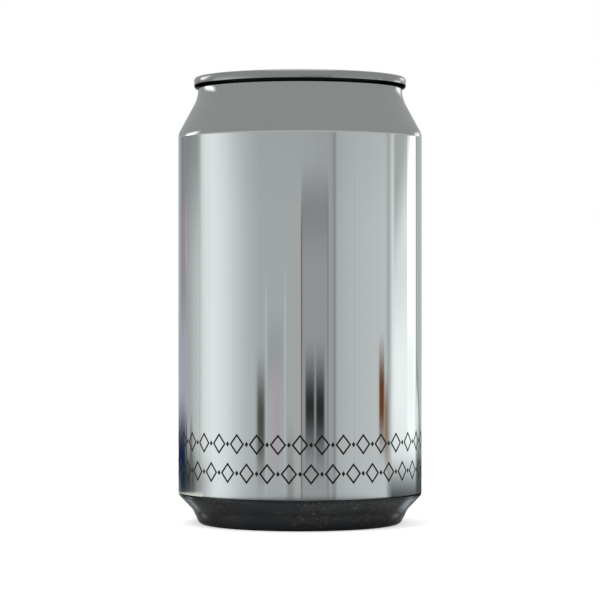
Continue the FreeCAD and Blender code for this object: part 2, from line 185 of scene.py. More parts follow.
class Graph:
    """Short calls for building one node tree."""

    def __init__(self, tree):
        self.tree = tree
        self.tree.nodes.clear()

    def add(self, kind, **settings):
        node = self.tree.nodes.new(kind)
        for name, setting in settings.items():
            setattr(node, name, setting)
        return node

    def feed(self, socket, source):
        """Link a socket to another, or set its value."""
        if isinstance(source, bpy.types.NodeSocket):
            self.tree.links.new(source, socket)
        else:
            socket.default_value = source

    def math(self, operation, first, second=0.0):
        node = self.add("ShaderNodeMath", operation=operation)
        for socket, source in zip(node.inputs, (first, second)):
            self.feed(socket, source)
        return node.outputs[0]

    def ease(self, source, low, high, at_low=0.0, at_high=1.0):
        """A smooth step between two values."""
        node = self.add("ShaderNodeMapRange", interpolation_type="SMOOTHSTEP")
        for socket, given in zip(node.inputs, (source, low, high, at_low, at_high)):
            self.feed(socket, given)
        return node.outputs[0]

    def between(self, source, low, high, soft):
        """One between two values, zero outside, with soft edges."""
        rising = self.ease(source, low - soft, low + soft)
        falling = self.ease(source, high - soft, high + soft, 1.0, 0.0)
        return self.math("MULTIPLY", rising, falling)

    def blend(self, share, first, second):
        """The first colour where the share is 0, the second where it is 1."""
        node = self.add("ShaderNodeMix", data_type="RGBA")      # its sockets 6 and 7 are colours
        self.feed(node.inputs[0], share)
        self.feed(node.inputs[6], first)
        self.feed(node.inputs[7], second)
        return node.outputs[2]

    def ramp(self, source, stops, low, high):
        """Wall shades over a range; each stop is (place, shade), in order."""
        place = self.add("ShaderNodeMapRange")
        for socket, given in zip(place.inputs, (source, low, high, 0.0, 1.0)):
            self.feed(socket, given)
        node = self.add("ShaderNodeValToRGB")
        elements = node.color_ramp.elements
        while len(elements) < len(stops):
            elements.new(0.5)
        for element, (where, _) in zip(elements, stops):
            element.position = (where - low) / (high - low)
        for element, (_, shade) in zip(elements, stops):
            element.color = shade_colour(*(shade * tint for tint in WALL_TINT))
        self.feed(node.inputs[0], place.outputs[0])
        return node.outputs[0]

    def noise(self, vector, scale, detail=2.0, stretch=(1.0, 1.0, 1.0)):
        """Cloudy noise in space."""
        mapping = self.add("ShaderNodeMapping")
        self.feed(mapping.inputs["Vector"], vector)
        mapping.inputs["Scale"].default_value = stretch
        node = self.add("ShaderNodeTexNoise")
        self.feed(node.inputs["Vector"], mapping.outputs[0])
        node.inputs["Scale"].default_value = scale
        node.inputs["Detail"].default_value = detail
        return node.outputs["Fac"]

    def lines(self, source, scale, detail):
        """Noise along one value."""
        node = self.add("ShaderNodeTexNoise", noise_dimensions="1D")
        self.feed(node.inputs["W"], source)
        node.inputs["Scale"].default_value = scale
        node.inputs["Detail"].default_value = detail
        return node.outputs["Fac"]


# ---------------------------------------------------------------- the studio

# The metal mirrors this studio. Angles are in degrees, seen from the can: round it from the
# camera (0) to the right (+) or left (-), and up from level. Shades run from 0, black, to 1,
# white, and a shade over 1 is brighter than white.
LEFT_WALL = [
    (-180, 0.72), (-160, 0.69), (-150, 0.56), (-130, 0.65), (-112, 0.77), (-100, 0.89),
    (-88, 0.915), (-74, 0.87), (-52, 0.73), (-38, 0.67), (0, 0.665),
]
RIGHT_WALL = [
    (0, 0.665), (27, 0.63), (33, 0.58), (35, 0.69), (48, 0.73), (87, 0.77), (92, 0.66),
    (97, 0.87), (121, 0.90), (141, 0.96), (150, 0.68), (158, 0.74), (180, 0.72),
]
WALL_TINT = (0.972, 1.002, 1.004)
GREY = 0.5
STREAK_SHARE = 0.09         # how far the fine upright streaks go towards grey
# Other things in it, each over those before it: (left, right, lowest, highest,
# softness round, softness up, colour, strength, rise for each degree round)
STUDIO_THINGS = [
    (-75, 160, 2.6, 9.0, 30.0, 1.4, (0.60, 0.61, 0.61), 0.30, 0),       # dimmer upper wall
    (-152, -109, 2.2, 9.0, 5.0, 1.7, (0.46, 0.48, 0.48), 0.75, 0),      # its darker left part
    (1.9, 26, -4.4, 2.5, 0.4, 0.7, (0.57, 0.585, 0.59), 0.95, 0),       # grey screen
    (1.9, 26, 1.3, 2.5, 0.4, 0.6, (0.50, 0.51, 0.52), 0.7, 0),          # its top
    (25.2, 26.8, -4.4, 2.3, 0.3, 0.6, (0.50, 0.50, 0.51), 0.8, 0),      # its right edge
    (0.8, 2.1, -4.4, 2.0, 0.3, 0.8, (0.41, 0.35, 0.29), 0.85, 0),       # its brown post
    (-109.2, -108.0, -4.2, 4.6, 0.4, 0.6, (0.66, 0.62, 0.56), 0.8, 0),  # warm edge on the left
    (-144, -138, -0.2, 4.2, 1.2, 0.8, (0.58, 0.52, 0.62), 0.7, 0),      # purplish cloth
    (-138.5, -136, 0.6, 2.0, 0.8, 0.5, (0.86, 0.60, 0.62), 0.75, 0),    # pink edge
    (-170, -128, -2.8, -0.4, 3.0, 0.8, (0.65, 0.66, 0.70), 0.75, 0),    # bluish light
    (-30, -16, -1.7, -0.6, 2.5, 0.7, (0.53, 0.56, 0.55), 0.5, 0),       # soft grey shade
    (-32.6, -31.0, -4.2, 0.3, 0.3, 0.7, (0.71, 0.74, 0.79), 0.65, 0),   # two pale edges
    (-14.6, -13.0, -4.2, 0.5, 0.3, 0.7, (0.71, 0.74, 0.79), 0.65, 0),
    (-40.5, -33, -3.6, -1.7, 2.2, 0.8, (0.21, 0.23, 0.19), 0.9, 0),     # green figure
    (-25, -18, -3.6, -1.4, 2.2, 0.6, (0.67, 0.61, 0.66), 0.65, 0),      # lilac figure
    (-12, -6, -9.0, -3.0, 3.0, 0.8, (0.46, 0.47, 0.47), 0.6, 0),        # grey shade, low
    (5.0, 13.3, -3.15, -1.5, 1.3, 0.8, (0.13, 0.14, 0.14), 0.97, 0),    # two dark figures
    (14.8, 22.6, -3.25, -1.5, 1.3, 0.8, (0.12, 0.13, 0.13), 0.97, 0),
    (31.0, 33.2, -4.4, 4.4, 0.5, 0.8, (0.53, 0.54, 0.55), 0.7, 0),      # two upright lines
    (51.6, 52.4, -4.2, 3.0, 0.4, 1.0, (0.62, 0.63, 0.64), 0.5, 0),
    (79.5, 86.0, -3.0, -1.2, 1.4, 0.7, (0.40, 0.25, 0.15), 1.0, 0),     # brown figure
    (86.0, 91.0, -3.4, -1.9, 1.4, 0.5, (0.53, 0.44, 0.36), 0.9, 0),     # its paler side
    (121.5, 140.5, -3.0, 9.0, 0.8, 0.5, (1.10, 1.10, 1.10), 1.0, 0),    # the window
    (98, 139.5, -3.1, -0.4, 5.0, 1.1, (0.95, 0.98, 0.975), 0.88, 0),    # its light below
    (142, 146, -3.0, 9.0, 1.0, 0.8, (0.50, 0.51, 0.53), 0.75, 0),       # its dark edge
    (99, 129, 2.5, 12.0, 2.5, 1.3, (0.63, 0.65, 0.64), 0.95, 0.09),     # dim wall over it
    (139, 151, -3.0, -1.9, 2.0, 0.6, (0.88, 0.91, 0.90), 0.95, 0),      # light past its edge
    (145, 158, -2.5, -2.0, 1.0, 0.25, (0.42, 0.43, 0.45), 0.8, -0.13),  # slanting dark line
    (92.5, 175, -12.0, -3.8, 5.0, 0.6, (0.20, 0.22, 0.22), 0.97, 0),    # dark floor, right
    (142, 176, -12.0, -3.2, 4.0, 0.6, (0.28, 0.30, 0.31), 0.9, 0),
    (-150, -96, -4.4, -3.6, 16.0, 0.6, (0.42, 0.44, 0.44), 0.7, 0),     # dark floor, left
    (-156, -117, -4.3, -3.4, 8.0, 0.6, (0.17, 0.18, 0.19), 0.97, 0),
    (-138, -134, -4.2, -2.6, 0.8, 0.4, (0.24, 0.25, 0.28), 0.85, 0),    # two dark uprights
    (-127, -122, -4.2, -2.7, 1.2, 0.4, (0.38, 0.39, 0.39), 0.8, 0),
    (-170, -139, -4.17, -2.6, 2.0, 0.7, (0.06, 0.14, 0.26), 0.97, 0),   # dark blue cloth
    (-166, -104, -7.0, -4.17, 2.0, 0.04, (0.84, 0.85, 0.80), 0.9, 0),   # pale edge of a table
    (-104, 104, -5.0, -4.3, 4.0, 0.05, (0.13, 0.14, 0.15), 0.95, 0),    # its dark front edge
]
CEILING_SHADE = 0.67
CEILING_TINT = (1.0, 1.015, 1.01)
CEILING_START = 4.3
CEILING_SOFT = 0.5
OVERHEAD_SHADE = 0.95
OVERHEAD_START = 70.0
OVERHEAD_SOFT = 6.0
FLOOR_SHADE = 0.88
FLOOR_SHARE = 0.5           # of the floor's shade at FLOOR_FULL and below, none at FLOOR_START
FLOOR_FULL = -45.0
FLOOR_START = -6.0
# Bright panels above and below the walls, in the same form.
PANELS = [
    (-137, -114, 4.6, 12.0, 4.0, 2.6, (1.25, 1.25, 1.25), 1.0, 0.33),   # two for the shoulder
    (140, 158, 4.6, 9.5, 4.0, 2.4, (1.15, 1.15, 1.15), 1.0, 0),
    (-145, -132, -25.0, -16.0, 4.0, 3.0, (1.35, 1.4, 1.45), 1.0, 0),    # four for the base
    (-165, -156, -26.0, -20.0, 4.0, 3.0, (1.2, 1.25, 1.3), 0.9, 0),
    (132, 146, -26.0, -16.0, 4.0, 3.0, (1.35, 1.4, 1.45), 1.0, 0),
    (153, 165, -29.0, -19.0, 5.0, 3.0, (1.3, 1.35, 1.4), 0.9, 0),
    (158, 190, 24.0, 58.0, 6.0, 7.0, (0.98, 0.98, 0.98), 0.9, 0),       # one behind, in two halves
    (-190, -158, 24.0, 58.0, 6.0, 7.0, (0.98, 0.98, 0.98), 0.9, 0),
]
SOFT_LIGHT = 0.62
WHITE = (1.0, 1.0, 1.0, 1.0)


def studio_thing(graph, around, up, colour_below, thing):
    """Lay one thing over what is seen so far."""
    left, right, lowest, highest, soft_round, soft_up, colour, strength, tilt = thing
    if tilt:
        lean = graph.math("MULTIPLY", graph.math("SUBTRACT", around, (left + right) / 2), tilt)
        up = graph.math("SUBTRACT", up, lean)
    spread = graph.between(around, left, right, soft_round)
    rise = graph.between(up, lowest, highest, soft_up)
    share = graph.math("MULTIPLY", graph.math("MULTIPLY", spread, rise), strength)
    return graph.blend(share, colour_below, shade_colour(*colour))


def make_studio():
    """A white surround for the camera, the mirrored studio for glossy rays, soft light for the rest."""
    world = bpy.data.worlds.new("studio")
    bpy.context.scene.world = world
    world.use_nodes = True
    graph = Graph(world.node_tree)
    direction = graph.add("ShaderNodeTexCoord").outputs["Generated"]
    parts = graph.add("ShaderNodeSeparateXYZ")
    graph.feed(parts.inputs[0], direction)
    x, y, z = parts.outputs
    around = graph.math("DEGREES", graph.math("ARCTAN2", x, graph.math("MULTIPLY", y, -1.0)))
    up = graph.math("DEGREES", graph.math("ARCSINE", z))
    left = graph.ramp(around, LEFT_WALL, -180.0, 0.0)
    right = graph.ramp(around, RIGHT_WALL, 0.0, 180.0)
    walls = graph.blend(graph.math("GREATER_THAN", around, 0.0), left, right)
    fine = graph.lines(around, 0.9, 4.0)
    streaks = graph.ease(fine, 0.35, 0.75, 0.0, STREAK_SHARE)
    seen = graph.blend(streaks, walls, shade_colour(GREY, GREY, GREY))
    for thing in STUDIO_THINGS:
        seen = studio_thing(graph, around, up, seen, thing)
    ceiling = shade_colour(*(CEILING_SHADE * tint for tint in CEILING_TINT))
    overhead = shade_colour(OVERHEAD_SHADE, OVERHEAD_SHADE, OVERHEAD_SHADE)
    floor = shade_colour(FLOOR_SHADE, FLOOR_SHADE, FLOOR_SHADE)
    ceiling_share = graph.ease(up, CEILING_START - CEILING_SOFT, CEILING_START + CEILING_SOFT)
    seen = graph.blend(ceiling_share, seen, ceiling)
    overhead_share = graph.ease(up, OVERHEAD_START - OVERHEAD_SOFT, OVERHEAD_START + OVERHEAD_SOFT)
    seen = graph.blend(overhead_share, seen, overhead)
    seen = graph.blend(graph.ease(up, FLOOR_FULL, FLOOR_START, FLOOR_SHARE, 0.0), seen, floor)
    without_panels = seen
    for thing in PANELS:
        seen = studio_thing(graph, around, up, seen, thing)
    past_walls = graph.math("GREATER_THAN", graph.math("ABSOLUTE", up), CEILING_START + CEILING_SOFT)
    seen = graph.blend(past_walls, without_panels, seen)
    rays = graph.add("ShaderNodeLightPath")
    mirrored = graph.add("ShaderNodeBackground")
    graph.feed(mirrored.inputs["Color"], seen)
    lit = graph.add("ShaderNodeBackground")
    lit.inputs["Color"].default_value = WHITE
    lit.inputs["Strength"].default_value = SOFT_LIGHT
    plain = graph.add("ShaderNodeBackground")
    plain.inputs["Color"].default_value = WHITE
    glossy = graph.add("ShaderNodeMixShader")
    graph.feed(glossy.inputs[0], rays.outputs["Is Glossy Ray"])
    graph.feed(glossy.inputs[1], lit.outputs[0])
    graph.feed(glossy.inputs[2], mirrored.outputs[0])
    direct = graph.add("ShaderNodeMixShader")
    graph.feed(direct.inputs[0], rays.outputs["Is Camera Ray"])
    graph.feed(direct.inputs[1], glossy.outputs[0])
    graph.feed(direct.inputs[2], plain.outputs[0])
    out = graph.add("ShaderNodeOutputWorld")
    graph.feed(out.inputs[0], direct.outputs[0])


FLOOR_SIZE = 6000.0
FLOOR_COLOUR = (0.86, 0.86, 0.86, 1.0)
FLOOR_GLOW = 0.48           # added for the camera alone, so the floor shows white
FLOOR_MIRRORED = 34.0       # how far from the can's axis its metal mirrors the real floor
FLOOR_FADE = 0.85           # the share of that way where the real floor starts to fade


def make_floor():
    """A pale floor that keeps the can's shadow; past FLOOR_MIRRORED the metal sees the studio."""
    mesh = bpy.data.meshes.new("floor")
    half = FLOOR_SIZE / 2 * MM
    corners = [(-half, -half, 0), (half, -half, 0), (half, half, 0), (-half, half, 0)]
    mesh.from_pydata(corners, [], [(0, 1, 2, 3)])
    floor = bpy.data.objects.new("floor", mesh)
    bpy.context.scene.collection.objects.link(floor)
    material = bpy.data.materials.new("floor_white")
    material.use_nodes = True
    graph = Graph(material.node_tree)
    rays = graph.add("ShaderNodeLightPath")
    matt = graph.add("ShaderNodeBsdfDiffuse")
    matt.inputs["Color"].default_value = FLOOR_COLOUR
    glow = graph.add("ShaderNodeEmission")
    graph.feed(glow.inputs["Strength"],
               graph.math("MULTIPLY", rays.outputs["Is Camera Ray"], FLOOR_GLOW))
    surface = graph.add("ShaderNodeAddShader")
    graph.feed(surface.inputs[0], matt.outputs[0])
    graph.feed(surface.inputs[1], glow.outputs[0])
    place = graph.add("ShaderNodeTexCoord").outputs["Object"]
    distance = graph.add("ShaderNodeVectorMath", operation="LENGTH")
    graph.feed(distance.inputs[0], place)
    far = graph.ease(distance.outputs["Value"], FLOOR_MIRRORED * FLOOR_FADE * MM, FLOOR_MIRRORED * MM)
    clear = graph.add("ShaderNodeBsdfTransparent")
    shown = graph.add("ShaderNodeMixShader")
    graph.feed(shown.inputs[0], graph.math("MULTIPLY", far, rays.outputs["Is Glossy Ray"]))
    graph.feed(shown.inputs[1], surface.outputs[0])
    graph.feed(shown.inputs[2], clear.outputs[0])
    out = graph.add("ShaderNodeOutputMaterial")
    graph.feed(out.inputs[0], shown.outputs[0])
    mesh.materials.append(material)


def make_lamp(name, place, size, power):
    """A round soft lamp, turned to the middle of the can and left out of its reflections."""
    lamp = bpy.data.lights.new(name, "AREA")
    lamp.shape = "DISK"
    lamp.size = size
    lamp.energy = power
    holder = bpy.data.objects.new(name, lamp)
    holder.location = place
    towards = Vector((0, 0, CAN_HEIGHT / 2 * MM)) - holder.location
    holder.rotation_euler = towards.to_track_quat("-Z", "Y").to_euler()
    holder.visible_glossy = False
    bpy.context.scene.collection.objects.link(holder)


# ---------------------------------------------------------------- the camera

# The camera is level; its place is in metres.
CAMERA_DISTANCE = 0.720
CAMERA_HEIGHT = 0.0607
CAMERA_LENS = 158.7
SENSOR_WIDTH = 36.0


def make_camera():
    """The camera at the front, looking level along +Y."""
    camera = bpy.data.cameras.new("camera")
    camera.lens = CAMERA_LENS
    camera.sensor_width = SENSOR_WIDTH
    camera.clip_start = 0.01
    holder = bpy.data.objects.new("camera", camera)
    holder.location = (0.0, -CAMERA_DISTANCE, CAMERA_HEIGHT)
    holder.rotation_euler = (math.pi / 2, 0.0, 0.0)
    bpy.context.scene.collection.objects.link(holder)
    bpy.context.scene.camera = holder


# ---------------------------------------------------------------- finishes

def new_material(name):
    """A material with one Principled shader, its graph, and the place on the can."""
    material = bpy.data.materials.new(name)
    material.use_nodes = True
    graph = Graph(material.node_tree)
    shader = graph.add("ShaderNodeBsdfPrincipled")
    out = graph.add("ShaderNodeOutputMaterial")
    graph.feed(out.inputs[0], shader.outputs[0])
    place = graph.add("ShaderNodeTexCoord").outputs["Object"]
    return material, graph, shader, place


def bump(graph, shader, height, distance):
    """Fine relief in the finish, as deep as the distance in millimetres."""
    node = graph.add("ShaderNodeBump")
    graph.feed(node.inputs["Height"], height)
    node.inputs["Distance"].default_value = distance * MM
    node.inputs["Strength"].default_value = 1.0
    graph.feed(shader.inputs["Normal"], node.outputs[0])


def mirror_metal(name, colour, roughness, smear, edge_tint=1.0):
    """Polished metal, drawn upright: faint upright draw lines and a little haze."""
    material, graph, shader, place = new_material(name)
    shader.inputs["Metallic"].default_value = 1.0
    shader.inputs["Specular Tint"].default_value = (edge_tint, edge_tint, edge_tint, 1.0)
    haze = graph.noise(place, 90.0, 3.0, (1.0, 1.0, 0.35))
    dim = [channel * 0.96 for channel in colour]
    graph.feed(shader.inputs["Base Color"], graph.blend(haze, (*dim, 1.0), (*colour, 1.0)))
    graph.feed(shader.inputs["Roughness"], graph.ease(haze, 0.3, 0.7, roughness * 0.7, roughness * 1.3))
    drawn = graph.noise(place, 700.0, 2.0, (1.0, 1.0, 0.02))
    bump(graph, shader, drawn, smear)
    return material


def painted_table_reflection(name):
    """Metal under a clear coat, near black as painted reflection of a dark table, with faint yellow-grey
    swirls as contour lines: painted reflection of the table's grain.
    """
    material, graph, shader, place = new_material(name)
    shader.inputs["Metallic"].default_value = 1.0
    shader.inputs["Specular Tint"].default_value = (0.2, 0.21, 0.23, 1.0)
    shader.inputs["Coat Weight"].default_value = 0.5
    shader.inputs["Coat Roughness"].default_value = 0.05
    hills = graph.noise(place, 190.0, 2.0, (1.0, 1.0, 1.5))
    contour = graph.math("SINE", graph.math("MULTIPLY", hills, 80.0))
    patches = graph.noise(place, 70.0, 3.0)
    swirls = graph.ease(contour, 0.6, 1.0)
    share = graph.math("MULTIPLY", swirls, graph.ease(patches, 0.36, 0.62, 0.06, 0.55))
    # Near black and bluish, with yellow-grey swirls: painted reflection of a dark wooden table.
    dark = graph.blend(graph.noise(place, 300.0, 4.0),
                       (0.012, 0.0145, 0.018, 1.0), (0.020, 0.0235, 0.029, 1.0))
    graph.feed(shader.inputs["Base Color"], graph.blend(share, dark, (0.12, 0.115, 0.085, 1.0)))
    graph.feed(shader.inputs["Roughness"], graph.ease(hills, 0.3, 0.7, 0.10, 0.22))
    bump(graph, shader, graph.noise(place, 1300.0, 3.0), 0.02)
    return material


def sheet_metal(name, colour, roughness, grain=(0.03, 1.0, 1.0)):
    """Bright rolled sheet: fine rolling lines and light scuffs."""
    material, graph, shader, place = new_material(name)
    shader.inputs["Metallic"].default_value = 1.0
    rolling = graph.noise(place, 2600.0, 3.0, grain)
    scuffs = graph.noise(place, 160.0, 4.0)
    dim = [channel * 0.90 for channel in colour]
    graph.feed(shader.inputs["Base Color"], graph.blend(rolling, (*dim, 1.0), (*colour, 1.0)))
    graph.feed(shader.inputs["Roughness"], graph.ease(scuffs, 0.3, 0.7, roughness * 0.7, roughness * 1.4))
    bump(graph, shader, rolling, 0.0012)
    return material


def black_ink(name):
    """Thin black ink, a little uneven."""
    material, graph, shader, place = new_material(name)
    shader.inputs["Roughness"].default_value = 0.42
    shader.inputs["Specular IOR Level"].default_value = 0.2
    uneven = graph.noise(place, 500.0, 3.0)
    graph.feed(shader.inputs["Base Color"],
               graph.blend(uneven, (0.003, 0.003, 0.003, 1.0), (0.007, 0.007, 0.008, 1.0)))
    bump(graph, shader, uneven, 0.002)
    return material


# ---------------------------------------------------------------- mesh building

RING_STEPS = 360


def rounded_path(corners, steps=12, closed=False):
    """Points through corners (x, y) or (x, y, rounding), the roundings as arcs."""
    points = []
    for index, corner in enumerate(corners):
        here = Vector(corner[:2])
        if len(corner) == 2:
            points.append(here)
            continue
        to_before = (Vector(corners[index - 1][:2]) - here).normalized()
        to_after = (Vector(corners[(index + 1) % len(corners)][:2]) - here).normalized()
        half = to_before.angle(to_after) / 2
        centre = here + (to_before + to_after).normalized() * (corner[2] / math.sin(half))
        first = here + to_before * (corner[2] / math.tan(half)) - centre
        last = here + to_after * (corner[2] / math.tan(half)) - centre
        turn = first.angle_signed(last)
        for step in range(steps + 1):
            angle = -turn * step / steps
            cosine, sine = math.cos(angle), math.sin(angle)
            arm = Vector((first.x * cosine - first.y * sine, first.x * sine + first.y * cosine))
            points.append(centre + arm)
    return points if closed else guarded(points)


def guarded(points, longest=2.0, guard=0.15):
    """The points with two more near the ends of each long side, so its shading stays even."""
    result = [points[0]]
    for before, after in zip(points, points[1:]):
        side = after - before
        if side.length > longest:
            result.append(before + side.normalized() * guard)
            result.append(after - side.normalized() * guard)
        result.append(after)
    return result


def turned(profile):
    """Loops of points from a profile of (radius, height), turned about the can's axis."""
    angles = [2 * math.pi * step / RING_STEPS for step in range(RING_STEPS)]
    return [[(radius * math.cos(a), radius * math.sin(a), height) for a in angles]
            for radius, height in profile]


def plan(half_front, front, half_back, back, round_front, round_back, grow=0.0):
    """A rounded outline, symmetric left and right, from its front (-Y) to its back (+Y)."""
    return rounded_path([
        (-(half_front + grow), -(front + grow), round_front + grow),
        (half_front + grow, -(front + grow), round_front + grow),
        (half_back + grow, back + grow, round_back + grow),
        (-(half_back + grow), back + grow, round_back + grow),
    ], closed=True)


def pressed(outline, profile):
    """Loops that follow an outline grown by each (growth, height) of a profile."""
    return [[(point.x, point.y, height) for point in plan(*outline, grow)] for grow, height in profile]


def slope(start, end, half_width=0.3, steps=8):
    """A soft step from one height to another, going inwards over an outline."""
    profile = []
    for step in range(steps + 1):
        share = step / steps
        eased = share * share * (3 - 2 * share)
        profile.append((half_width * (1 - 2 * share), start + (end - start) * eased))
    return profile


def curve(centre, reach, rise, start, finish, steps=7):
    """Part of an ellipse as (growth, height) points, between two angles in degrees."""
    profile = []
    for step in range(steps + 1):
        angle = math.radians(start + (finish - start) * step / steps)
        profile.append((centre[0] + reach * math.cos(angle), centre[1] + rise * math.sin(angle)))
    return profile


class Sheet:
    """One mesh built up from loops of points."""

    def __init__(self):
        self.vertices = []
        self.faces = []
        self.smooth = []        # for each face, whether it is shaded smooth
        self.zones = []         # for each face, the number of its material

    def strip(self, loops, zone=0):
        """Smooth faces from each loop to the next; the zone may depend on the height."""
        first = len(self.vertices)
        count = len(loops[0])
        for loop in loops:
            self.vertices.extend(loop)
        for row in range(len(loops) - 1):
            low, high = first + row * count, first + (row + 1) * count
            middle = (loops[row][0][2] + loops[row + 1][0][2]) / 2
            for step in range(count):
                after = (step + 1) % count
                self.faces.append((low + step, low + after, high + after, high + step))
                self.smooth.append(True)
                self.zones.append(zone(middle) if callable(zone) else zone)

    def flat(self, loops, height, zone=0):
        """A level face inside the first loop and outside the others, facing up."""
        first = len(self.vertices)
        outlines = [[Vector((point[0], point[1], 0.0)) for point in loop] for loop in loops]
        points = [point for outline in outlines for point in outline]
        self.vertices.extend((point.x, point.y, height) for point in points)
        for a, b, c in tessellate_polygon(outlines):
            upward = (points[b] - points[a]).cross(points[c] - points[a]).z > 0
            corners = (a, b, c) if upward else (a, c, b)
            self.faces.append(tuple(first + corner for corner in corners))
            self.smooth.append(False)
            self.zones.append(zone)

    def piece(self, name, materials):
        """The finished object, riding on the can."""
        mesh = bpy.data.meshes.new(name)
        mesh.from_pydata([(x * MM, y * MM, z * MM) for x, y, z in self.vertices], [], self.faces)
        for material in materials:
            mesh.materials.append(material)
        mesh.polygons.foreach_set("material_index", self.zones)
        mesh.polygons.foreach_set("use_smooth", self.smooth)
        mesh.update()
        made = bpy.data.objects.new(name, mesh)
        bpy.context.scene.collection.objects.link(made)
        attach(made, "root")
        return made


# ---------------------------------------------------------------- the pieces

DOME_STEPS = 16
DOME_BEND_MARGIN = 0.6      # how far the dome's last point lies from the inner leg
SKIN_JOIN = 3.0             # height on the inner leg where the underside's metal ends
NECK_HIDDEN = 1.2           # how far the neck runs up into the seam
SEAM_HIDDEN = 1.0           # how far the seam's skin runs up beside it
PANEL_TURNED = 1.0          # width of the panel's rim that is turned, outside the flat face
RIVET_HIDDEN = 0.05         # how far the rivet's head reaches down into the web


def make_can_shell():
    """The drawn body's outside, from the middle of the dome up into the seam."""
    dome_edge = INNER_LEG - DOME_BEND_MARGIN
    dome = []
    for step in range(DOME_STEPS + 1):
        radius = AXIS_GAP + dome_edge * step / DOME_STEPS
        dome.append((radius, DOME_CENTRE + math.sqrt(DOME_RADIUS ** 2 - radius ** 2)))
    corner = DOME_CENTRE + math.sqrt(DOME_RADIUS ** 2 - INNER_LEG ** 2)
    wall_radius = WALL_RADIUS - INK_THICKNESS
    inside = rounded_path([
        dome[-1],
        (INNER_LEG, corner, DOME_BEND_RADIUS),
        (INNER_LEG, SKIN_JOIN),
    ])
    outside = rounded_path([
        (INNER_LEG, SKIN_JOIN),
        (INNER_LEG, 0.0, NOSE_RADIUS),
        (FOOT_CORNER, 0.0, NOSE_RADIUS),
        (LEG_BEND, LEG_HEIGHT, LEG_BEND_RADIUS),
        (wall_radius, BASE_BEND, BASE_BEND_RADIUS),
        (wall_radius, SHOULDER, SHOULDER_BEND_RADIUS),
        (NECK_RADIUS, NECK_CORNER, NECK_BEND_RADIUS),
        (NECK_RADIUS, SEAM_FOOT + NECK_HIDDEN),
    ], steps=16)
    wall, neck, base, underside = range(4)

    def zone(height):
        if height > NECK_ZONE:
            return neck
        return base if height < BASE_ZONE else wall

    shell = Sheet()
    shell.strip(turned(dome[:-1] + [tuple(point) for point in inside]), underside)
    shell.strip(turned(outside), zone)
    made = shell.piece("can_shell", [
        mirror_metal("wall_mirror", (0.955, 0.96, 0.96), 0.02, 0.0004),
        # A darker grey than the wall: partly painted reflection of a grey ceiling.
        mirror_metal("neck_metal_painted_reflection", (0.59, 0.61, 0.612), 0.08, 0.0005),
        # Near black: painted reflection of a dark table.
        painted_table_reflection("base_painted_reflection"),
        sheet_metal("dome_metal", (0.62, 0.62, 0.61), 0.3, (1.0, 1.0, 1.0)),
    ])
    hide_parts("can_body")


